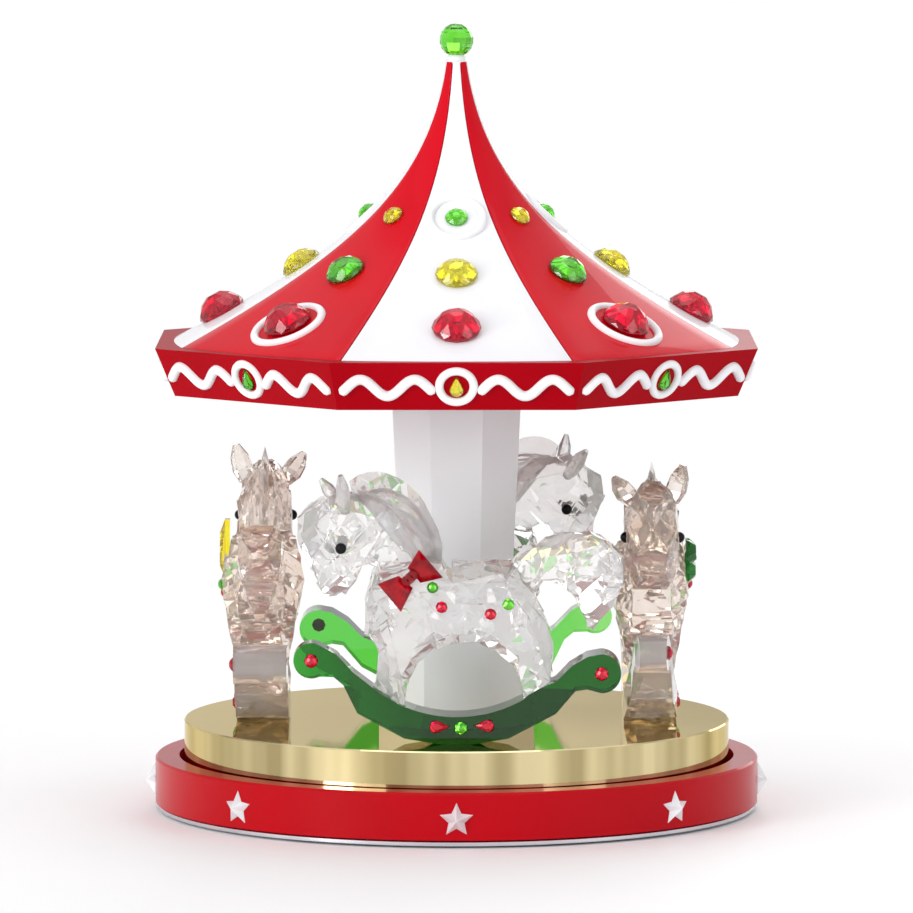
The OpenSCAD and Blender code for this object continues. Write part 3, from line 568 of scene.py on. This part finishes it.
redStones, yellowStones, greenStones = bmesh.new(), bmesh.new(), bmesh.new()
foils = bmesh.new()
setStones(redStones, "low", 0)
setStones(redStones, "low", 45)
setStones(yellowStones, "mid", 0)
setStones(yellowStones, "topRed", 45)
setStones(greenStones, "top", 0)
setStones(greenStones, "midRed", 45)
dropWide, dropLong, dropHigh = stones["drop"]
for k in range(8):
    gather(yellowStones if k % 2 == 0 else greenStones, dropStone(*stones["drop"]), onSkirt(k))
    gather(foils, dropStone(dropWide * 0.8, dropLong * 0.8, dropHigh * 0.5), onSkirt(k))
for name, bm, slot, node in (("roofStonesRed", redStones, "red_stone", "gems_red"),
                             ("roofStonesYellow", yellowStones, "yellow_stone", "gems_yellow"),
                             ("roofStonesGreen", greenStones, "green_stone", "gems_green")):
    finishPiece(name, bm, "carousel", slot, [node])
finishPiece("roofFoils", foils, "carousel", "silver_plate", finish="foil")

# ---- finial ----

finial = {"ballR": 4.0, "ballZ": 181.0, "collar": ((0, 175.6), (2.25, 175.6), (2.5, 176.1),
          (2.1, 176.6), (2.2, 177.0), (1.7, 177.7), (0, 177.7))}
ball = bmesh.new()
bmesh.ops.create_uvsphere(ball, u_segments=12, v_segments=9, radius=finial["ballR"])
finishPiece("finialBall", shift(ball, moved(0, 0, finial["ballZ"])), "carousel", "green_stone",
            ["finial_ball"])
finishPiece("finialCollar", lathe(finial["collar"], 48), "carousel", "white_lacquer",
            ["finial_collar"], smooth=40)
print("stones and finial made")

# ---- horses: local -X is forwards, -Y outwards, Z up from the gold drum's top ----

horse = {
    "ringR": 45.5, "drumTop": 21.4, "rockerZ": 37.4, "rockerR": 31,
    "turns": {"front": 0, "right": 90, "back": 180, "left": 270},
}


def onDrum(turn):
    return turned("Z", turn) @ moved(0, -horse["ringR"], horse["drumTop"])


def arc(cx, cz, r, start, end, steps):
    return [(cx + r * cos(radians(start + (end - start) * i / steps)),
             cz + r * sin(radians(start + (end - start) * i / steps))) for i in range(steps + 1)]


torso = {
    "outline": [(-18.8, 12.7), (-17.9, 21.6), (-20.3, 26), (-20.3, 32.5), (-18.4, 39),
                (-13.5, 43), (-8, 43.2), (-3.4, 41.6), (-1, 41.6), (10, 41.6), (13.2, 41.6), (15.2, 37.8),
                (18.2, 34.1), (20.4, 28.9), (22.2, 23.1), (21.9, 15.4)]
               + arc(0, 37.4, 31.05, -47, -60, 2) + arc(1.8, 10.2, 13.6, 0, 180, 9)
               + arc(0, 37.4, 31.05, -112, -126, 2),
    "half": 9.8,
    "cuts": [(0, 35, 9.75, 0, -0.18), (-15, 31, 8.6, -0.05, -0.19), (-15, 31, 8.5, -0.041, 0), (-15, 31, 8.6, -0.05, 0.14),
             (-20.3, 28, 4.6, -0.8, 0.05), (22.2, 23, 4.6, 0.85, 0.1),
             (-19, 37, 4.4, -0.55, 0.8), (13.8, 41.6, 4.4, 0.6, 1.0),
             (20.4, 30, 5.2, 0.9, 0.55), (-17.9, 20, 4.5, -0.5, -0.3)],
    "seat": (-1.5, 10.5), "seatDeep": 4.4, "arch": (1.8, 10.2, 13.6), "archEdge": 2.0,
}
head = {
    "outline": [(-18.6, 31), (-18.1, 41.1), (-20, 41.8), (-21.4, 41.3), (-23.2, 37.8),
                (-25.6, 34.8), (-27.4, 34.1), (-30, 34.1), (-32.1, 37.1), (-33, 42),
                (-35.1, 47.1), (-36.2, 50.2), (-36.1, 52.1), (-33, 53.9), (-30, 56),
                (-26.9, 58.6), (-23.8, 57.6), (-18, 57), (-15.3, 54.8), (-12.5, 50.6),
                (-9.7, 46.9), (-7.5, 43), (-6, 38), (-9, 31)],
    "half": 8.2,
    "cuts": [(-31, 36, 3.5, -0.45, -0.12), (-15, 31, 8.2, -0.05, 0.11), (-26.5, 45, 6.25, 0, 0),
             (-33.5, 53, 2.9, -0.7, 0.6), (-26, 35, 3.4, 0.15, -0.85), (-24, 57.6, 2.2, 0.1, 0.8),
             (-33.6, 44, 2.7, -0.95, 0.2), (-12, 38, 7.2, 0.1, 0.02),
             (-34, 48, 3.4, -0.8, -0.1), (-16, 55.5, 3.6, 0.3, 0.9)],
}
ear = {
    "steps": ((1.5, 0), (2.5, 3.0), (2.2, 6.2), (0.8, 9.2)),  # radius and height up the ear
    "pair": (((-25.4, -4.6, 53.4), (-26.6, -7.2, 62.4)), ((-26.4, 4.6, 53.2), (-31.0, 8.8, 59.4))),
}


def earShape():
    bm = bmesh.new()
    radius, level = ear["steps"][0]
    bmesh.ops.create_circle(bm, segments=6, radius=radius, cap_ends=True)
    top = bm.faces[:][0]
    for nextRadius, nextLevel in ear["steps"][1:]:
        top, corners = pull(bm, top, (0, 0, nextLevel - level), keep=level == 0)
        bmesh.ops.scale(bm, vec=(nextRadius / radius, nextRadius / radius, 1), verts=corners)
        radius, level = nextRadius, nextLevel
    bmesh.ops.scale(bm, vec=(0.75, 1, 1), verts=bm.verts)
    return settle(bm)


crystalCut = {"ways": ((1, 0.1, 0.8), (-0.9, 0.1, 1)), "every": 4.6, "deep": 0.42}


def horseBody():
    trunk = settle(grind(slab(torso["outline"], torso["half"]), torso["cuts"]))
    low, high = torso["seat"]
    seat = [e for e in sharpBorders(trunk, 40)
            if all(low < v.co.x < high and v.co.z > 40 and abs(v.co.y) > 1 for v in e.verts)]
    settle(easeEdges(trunk, seat, torso["seatDeep"], 1, clamp=False))
    archX, archZ, archR = torso["arch"]
    arch = [e for e in sharpBorders(trunk, 40)
            if all(abs(hypot(v.co.x - archX, v.co.z - archZ) - archR) < 0.4 and v.co.z > 10.5
                   and abs(v.co.y) > 1 for v in e.verts)
            and abs(e.verts[0].co.y - e.verts[1].co.y) < 4]
    settle(easeEdges(trunk, arch, torso["archEdge"], 1, clamp=False))
    skull = settle(grind(slab(head["outline"], head["half"], 1.3), head["cuts"]))
    for part in (trunk, skull):
        easeEdges(part, sharpBorders(part, 16), 0.16, 1)
    body = cutFacets(weld(trunk, skull), crystalCut)
    for root, tip in ear["pair"]:
        lean = Vector((0, 0, 1)).rotation_difference(Vector(tip) - Vector(root))
        gather(body, earShape(), moved(*root) @ lean.to_matrix().to_4x4())
    return settle(body)


mane = {
    "outline": [(-8, 43.4), (-9.7, 46.9), (-12.5, 50.6), (-15.3, 54.8), (-18, 56.9), (-24, 57.4),
                (-24.6, 60.2), (-22.6, 61.6), (-20.4, 62.3), (-18.2, 62.4), (-16.2, 62.1),
                (-13.2, 60.9), (-11.4, 59.7), (-9.7, 58.1), (-8.4, 56.8), (-7.4, 55.3),
                (-5.5, 51.6), (-4.1, 48.8), (-3.2, 45.3), (-3.4, 41.7)],
    "half": 6.4, "flutes": 12, "groove": 0.93, "gable": 0.86, "root": (-10.5, 42.5),
}


def maneShape():
    bm = bmesh.new()
    top = bm.faces.new([bm.verts.new((x, -mane["half"], z)) for x, z in mane["outline"]])
    step = 2 * mane["half"] / mane["flutes"]
    for i in range(mane["flutes"]):
        top, corners = pull(bm, top, (0, step, 0), keep=i == 0)
    rootX, rootZ = mane["root"]
    for v in bm.verts:
        layer = round((v.co.y + mane["half"]) / step)
        reach = 1 - mane["gable"] * abs(v.co.y) / mane["half"]
        reach *= mane["groove"] if layer % 2 else 1
        v.co.x = rootX + (v.co.x - rootX) * reach
        v.co.z = rootZ + (v.co.z - rootZ) * reach
    return settle(bm)


tail = {
    "outline": [(13.2, 41.4), (16.7, 44.3), (20.5, 47.1), (24.7, 48.4), (31.4, 48.1),
                (34.9, 45.9), (38.3, 43), (38.1, 37.6), (37.2, 34.3), (35.3, 30.5),
                (31.4, 26.3), (30.1, 26.6), (29.2, 29.9), (26.3, 34.7), (23.7, 37.2),
                (19.6, 37.5), (18.0, 34.6), (15.2, 37.8)],
    "half": 5.0,
    "cuts": [(30, 38, 4.7, 0, -0.3), (18, 41, 3.9, -0.12, 0.02), (27, 48.4, 1.6, -0.25, 0.8),
             (38.3, 41, 2.4, 1.0, 0.25)],
}


def tailShape():
    bm = settle(grind(slab(tail["outline"], tail["half"], 1.0), tail["cuts"]))
    return cutFacets(easeEdges(bm, sharpBorders(bm, 14), 0.14, 1), crystalCut)


rocker = {
    "headBall": (-33.4, 19.1, 4.1), "tailBall": (33.3, 16.4, 4.5), "half": 6.2, "sole": 1.5, "edge": 0.35,
    "cuts": [(-26, 16, 4.45, -0.125, 0)],
}


def rockerShape():
    hx, hz, hr = rocker["headBall"]
    tx, tz, tr = rocker["tailBall"]
    outline = (arc(0, 37.4, horse["rockerR"], -53, -127, 24) + [(-23.8, 16.6), (-27.7, 20.7)]
               + arc(hx, hz, hr, 56, 298, 20) + [(-28.2, 15.4), (-26, 13.6)]
               + arc(0, 37.4, 37.4 / cos(radians(9.25)), -127, -53, 4)
               + [(27.3, 12.4), (30, 12.8)] + arc(tx, tz, tr, -90, 92, 18)
               + [(30, 20.3), (26.2, 18), (22.9, 14.6)])
    bm = grind(slab(outline, rocker["half"]), rocker["cuts"])
    slice(bm, (0, 0, 0.03), (0, 0, -1))
    settle(bm)
    rim = [e for e in sharpBorders(bm, 50) if any(abs(f.normal.y) > 0.9 for f in e.link_faces)]
    sole = [e for e in rim if all(hypot(v.co.x, v.co.z - 37.4) > 34.2 for v in e.verts)]
    easeEdges(bm, sole, rocker["sole"], 1)
    upper = [e for e in sharpBorders(bm, 50) if any(abs(f.normal.y) > 0.9 for f in e.link_faces)]
    return easeEdges(bm, upper, rocker["edge"], 1)


crystalOf = {"front": ("clear_crystal", "green_glass"), "back": ("clear_crystal", "green_glass"),
             "right": ("champagne_crystal", "champagne_glass"),
             "left": ("champagne_crystal", "champagne_glass")}
body, crest, plume, runner = horseBody(), maneShape(), tailShape(), rockerShape()
for side, turn in horse["turns"].items():
    crystal, glass = crystalOf[side]
    for name, shape, slot, node, smooth in (
            ("Body", body, crystal, "_horse_body", 0), ("Mane", crest, crystal, "_horse_mane", 0),
            ("Tail", plume, crystal, "_horse_tail", 0), ("Rocker", runner, glass, "_rocker", 22)):
        pale = "paleGreenGlass" if side == "back" and shape is runner else None
        finishPiece(side + name, shift(shape.copy(), onDrum(turn)), "carousel", slot,
                    [side + node], smooth=smooth, finish=pale)
print("horses made")

# ---- small stones, eyes and neck ornaments ----

trim = {
    "eye": (-26.5, 6.2, 45.3, 1.3),
    "red": ((-3.4, 32.1, -8.9, 1.4), (7.8, 30.5, -8.7, 1.4), (33.3, 16.4, -6.1, 1.65),
            (-33.4, 19.1, -3.55, 1.65)),
    "green": ((-5.5, 36.5, -8.0, 1.4), (11.9, 32.8, -9.2, 1.4), (1, 3.9, -6.1, 1.6)),
    "drops": ((-3.9, 4.2, -90), (6.3, 4.4, 90)),
}
outward = turned("X", 90)  # a shape built flat stands up and faces -Y
eyes, redSet, greenSet, horseFoils = bmesh.new(), bmesh.new(), bmesh.new(), bmesh.new()
for side, turn in horse["turns"].items():
    x, y, z, r = trim["eye"]
    for way in (-1, 1):
        dome = bmesh.new()
        bmesh.ops.create_uvsphere(dome, u_segments=24, v_segments=12, radius=r)
        slice(dome, (0, -way * 0.1, 0), (0, -way, 0))
        gather(eyes, dome, onDrum(turn) @ moved(x, way * y, z))
    for target, places in ((redSet, trim["red"]), (greenSet, trim["green"])):
        for x, z, y, r in places:
            place = onDrum(turn) @ moved(x, y, z) @ outward
            gather(target, roundStone(r, 1.1, 8), place)
            gather(horseFoils, foilCone(r, 1.1, 6), place)
    for x, z, spin in trim["drops"]:
        place = onDrum(turn) @ moved(x, -6.1, z) @ outward @ turned("Z", spin)
        gather(redSet, dropStone(1.6, 5.0, 1.0), place)
        gather(horseFoils, dropStone(1.3, 4.0, 0.5), place)
finishPiece("horseEyes", eyes, "carousel", "eye_black", ["horse_eyes"], smooth=40)
finishPiece("horseStonesRed", redSet, "carousel", "red_stone", ["horse_stones"])
finishPiece("horseStonesGreen", greenSet, "carousel", "green_stone")
finishPiece("horseFoils", horseFoils, "carousel", "silver_plate", finish="foil")

ornament = {
    "place": (-10.6, -8.1, 38.9),
    "wings": (((-7.4, -1.5), (-2.1, -7.9), (0.6, -2.4), (-2.6, 0.4)),
              ((2.4, -1.2), (7.5, 0), (2, 6.4), (-0.6, 2.2))),
    "knot": 1.35,
    "bell": ((-1.8, 7), (1.8, 7), (2.5, 2), (3.6, -4), (4.3, -6.4), (-4.3, -6.4), (-3.6, -4),
             (-2.5, 2)),
    "leafR": 3.0, "leafAt": 2.9,
}


def facetPlate(outline, thick, draw, rise):
    # a flat plate whose face is drawn in to a raised table
    bm = bmesh.new()
    face = bm.faces.new([bm.verts.new((x, y, 0)) for x, y in outline])
    face, corners = pull(bm, face, (0, 0, thick), keep=True)
    face, corners = pull(bm, face, (0, 0, rise))
    bmesh.ops.scale(bm, vec=(1 - draw, 1 - draw, 1), verts=corners,
                    space=Matrix.Translation(-face.calc_center_median()))
    return settle(bm)


def bowShape():
    bm = bmesh.new()
    for wing in ornament["wings"]:
        gather(bm, facetPlate(wing, 0.9, 0.45, 1.2))
    for i in range(3):
        gather(bm, hull((ornament["knot"] - 0.2, 0, 0, 8), (ornament["knot"], 1.3, 22.5, 8),
                        (0.8, 2.5, 0, 8)), moved(-1.0 + i * 0.9, -0.9 + i * 0.85, 0))
    return bm


def bellShape():
    bm = facetPlate(ornament["bell"], 1.2, 0.45, 1.2)
    return gather(bm, roundStone(1.6, 2, 8), moved(0, -7, 0))


def cloverShape():
    bm = bmesh.new()
    for angle in (30, 150, 270):
        gather(bm, hull((ornament["leafR"], 0, 0, 10), (ornament["leafR"], 0.9, 18, 10),
                        (1.7, 2.4, 0, 5)), turned("Z", angle) @ moved(ornament["leafAt"], 0, 0))
    return gather(bm, roundStone(1.5, 2.6, 8))


star = {"out": 4.0, "inside": 1.9, "ringR": 70.6, "z": 6.6, "high": 2.15}
starOutline = [(r * sin(radians(36 * i)), r * cos(radians(36 * i)))
               for i in range(10) for r in [star["inside"] if i % 2 else star["out"]]]
stars = bmesh.new()
for k in range(8):
    gather(stars, facetPlate(starOutline, 0.5, 0.94, star["high"]), turned("Z", 45 * k)
           @ moved(star["ringR"], 0, star["z"]) @ turned("Z", 90) @ turned("X", 90))
finishPiece("baseStars", stars, "base", "silver_plate", ["base_stars"], finish="starSilver")

for name, shape, turn, slot, finish, node in (
        ("redBow", bowShape, 0, "red_stone", "deepRedGlass", "red_bow"),
        ("greenClover", cloverShape, 90, "green_stone", "deepGreenGlass", "green_clover"),
        ("greenBow", bowShape, 180, "green_stone", "deepGreenGlass", "green_bow"),
        ("amberBell", bellShape, 270, "yellow_stone", "yellow_stone", "amber_bell")):
    finishPiece(name, shift(shape(), onDrum(turn) @ moved(*ornament["place"]) @ outward),
                "carousel", slot, [node], finish=finish)
print("stones, eyes and ornaments made")

# ---- studio: pale floor, soft lights, camera ----

studio = {
    "floorR": 4.0, "floorColor": (0.95, 0.95, 0.955, 1), "fade": (0.14, 0.5),
    "lights": (  # name, place, size, power
        ("key", (-1.05, -1.15, 0.6), 0.8, 11), ("fill", (1.2, -1.0, 0.4), 0.8, 4),
        ("top", (0.05, 0.1, 1.25), 0.9, 2.5), ("back", (0.35, 1.2, 0.6), 0.8, 4),
        ("low", (-1.3, -1.1, 0.1), 0.4, 5)),
    "lens": 313.8, "eye": (0, -1.8643, 0.2552), "aim": (0, 0, 0.0831),
}
floorMesh = bmesh.new()
bmesh.ops.create_circle(floorMesh, segments=96, radius=studio["floorR"], cap_ends=True)
floor = asObject(floorMesh, "floor")
floorPaint = bpy.data.materials.new("floorPaper")
floorPaint.use_nodes = True
paper, threads = floorPaint.node_tree.nodes, floorPaint.node_tree.links
paper["Principled BSDF"].inputs["Base Color"].default_value = studio["floorColor"]
paper["Principled BSDF"].inputs["Roughness"].default_value = 0.6
spot = paper.new("ShaderNodeTexCoord")
reach = paper.new("ShaderNodeVectorMath")
reach.operation = "LENGTH"
threads.new(spot.outputs["Object"], reach.inputs[0])
fade = paper.new("ShaderNodeMapRange")
fade.inputs["From Min"].default_value, fade.inputs["From Max"].default_value = studio["fade"]
threads.new(reach.outputs["Value"], fade.inputs["Value"])
glow = paper.new("ShaderNodeEmission")
white = paper.new("ShaderNodeMixShader")
threads.new(fade.outputs["Result"], white.inputs["Fac"])
threads.new(paper["Principled BSDF"].outputs["BSDF"], white.inputs[1])
threads.new(glow.outputs["Emission"], white.inputs[2])
threads.new(white.outputs["Shader"], paper["Material Output"].inputs["Surface"])
floor.data.materials.append(floorPaint)

for name, at, size, power in studio["lights"]:
    lamp = bpy.data.lights.new(name, "AREA")
    lamp.size, lamp.energy = size, power
    holder = bpy.data.objects.new(name, lamp)
    holder.location = at
    holder.rotation_euler = (Vector((0, 0, 0.08)) - Vector(at)).to_track_quat("-Z", "Y").to_euler()
    scene.collection.objects.link(holder)

world = bpy.data.worlds.new("studioAir")
scene.world = world
world.use_nodes = True
air, wires = world.node_tree.nodes, world.node_tree.links
direction = air.new("ShaderNodeTexCoord")
split = air.new("ShaderNodeSeparateXYZ")
wires.new(direction.outputs["Generated"], split.inputs["Vector"])
height = air.new("ShaderNodeMapRange")
height.inputs["From Min"].default_value = -1
wires.new(split.outputs["Z"], height.inputs["Value"])
levels = air.new("ShaderNodeValToRGB")
for position, grey in ((0.0, 0.9), (0.5, 1.0), (0.6, 0.95), (0.75, 0.7), (0.9, 1.0), (1.0, 1.0)):
    stop = (levels.color_ramp.elements[0] if position == 0 else levels.color_ramp.elements[1]
            if position == 1 else levels.color_ramp.elements.new(position))
    stop.color = (grey, grey, grey * 1.01, 1)
wires.new(height.outputs["Result"], levels.inputs["Fac"])
compass = air.new("ShaderNodeTexGradient")
compass.gradient_type = "RADIAL"
wires.new(direction.outputs["Generated"], compass.inputs["Vector"])
panels = air.new("ShaderNodeTexNoise")
panels.noise_dimensions = "1D"
panels.inputs["Scale"].default_value = 14
panels.inputs["Detail"].default_value = 0
wires.new(compass.outputs["Fac"], panels.inputs["W"])
flags = air.new("ShaderNodeValToRGB")
flags.color_ramp.elements[0].position, flags.color_ramp.elements[1].position = 0.40, 0.52
flags.color_ramp.elements[0].color = (0.5, 0.5, 0.51, 1)
wires.new(panels.outputs["Fac"], flags.inputs["Fac"])
room = air.new("ShaderNodeMix")
room.data_type, room.blend_type = "RGBA", "MULTIPLY"
room.inputs["Factor"].default_value = 0.8
wires.new(levels.outputs["Color"], room.inputs["A"])
wires.new(flags.outputs["Color"], room.inputs["B"])
seen = air["Background"]
seen.inputs["Strength"].default_value = 0.9
wires.new(room.outputs["Result"], seen.inputs["Color"])
plain = air.new("ShaderNodeBackground")
plain.inputs["Color"].default_value = (1, 1, 1, 1)
ray = air.new("ShaderNodeLightPath")
choose = air.new("ShaderNodeMixShader")
wires.new(ray.outputs["Is Camera Ray"], choose.inputs["Fac"])
wires.new(seen.outputs["Background"], choose.inputs[1])
wires.new(plain.outputs["Background"], choose.inputs[2])
wires.new(choose.outputs["Shader"], air["World Output"].inputs["Surface"])

lens = bpy.data.cameras.new("view")
lens.lens, lens.sensor_width = studio["lens"], 36
lens.clip_start, lens.clip_end = 0.05, 20
camera = bpy.data.objects.new("view", lens)
camera.location = studio["eye"]
camera.rotation_euler = (Vector(studio["aim"]) - Vector(studio["eye"])).to_track_quat("-Z", "Y").to_euler()
scene.collection.objects.link(camera)
scene.camera = camera
scene.view_settings.view_transform = "Standard"
print("studio made")
